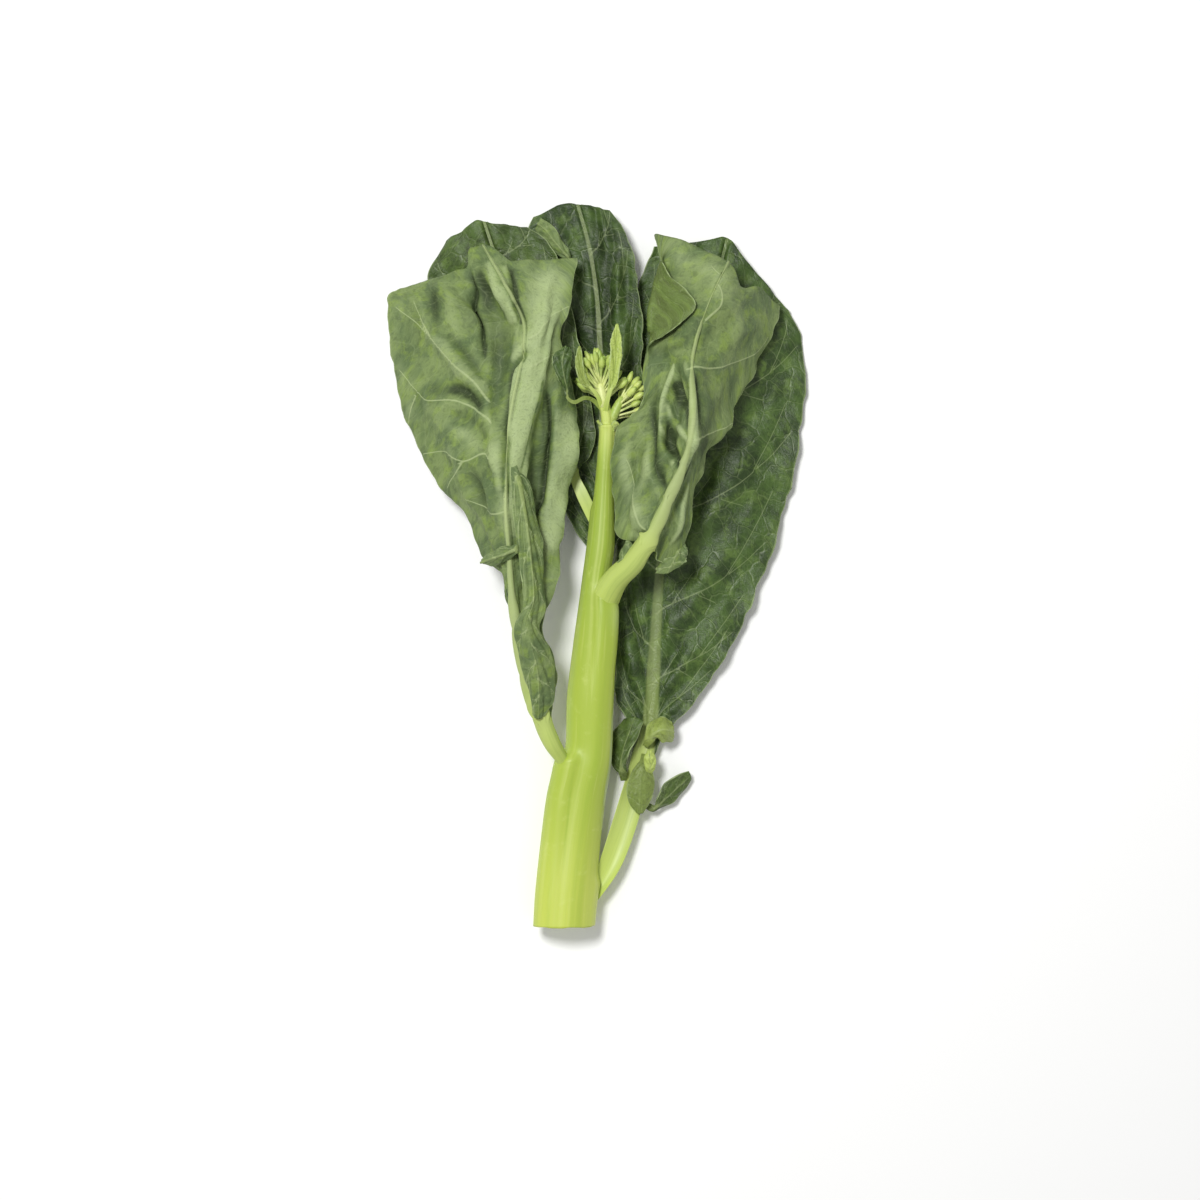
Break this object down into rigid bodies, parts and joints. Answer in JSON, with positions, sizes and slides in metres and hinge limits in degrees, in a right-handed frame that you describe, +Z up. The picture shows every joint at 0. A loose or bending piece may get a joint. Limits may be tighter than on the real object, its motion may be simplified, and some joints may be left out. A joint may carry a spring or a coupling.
{
  "type": "chinese broccoli stalk",
  "caption": "Cut flowering stalk of Chinese broccoli: thick ribbed stem, broad waxy leaves on fleshy stalks and a small head of closed buds, lying flat as picked for cooking.",
  "frame": {"origin": "middle of the flat spot under the stem near its cut end, where it lies on the surface", "axes": "+Y along the stalk towards the bud head, +X to the right seen from above, +Z up from the surface"},
  "size_m": [0.1468, 0.2506, 0.042],
  "materials": {
    "stem_skin": "smooth waxy plant skin, lime green",
    "leaf_skin": "waxy leaf, grey-green below and dark green above, pale veins",
    "bud_skin": "matte yellow-green buds"
  },
  "bodies": {
    "root": {"stem": "stem_skin", "leaf_lower": "leaf_skin", "leaf_left": "leaf_skin", "leaf_back": "leaf_skin", "leaf_right": "leaf_skin", "leaf_back_left": "leaf_skin", "bract_long": "leaf_skin", "bract_short": "leaf_skin", "bract_left": "leaf_skin", "bud_head": "bud_skin", "bud_spray": "bud_skin"}
  },
  "joints": []
}
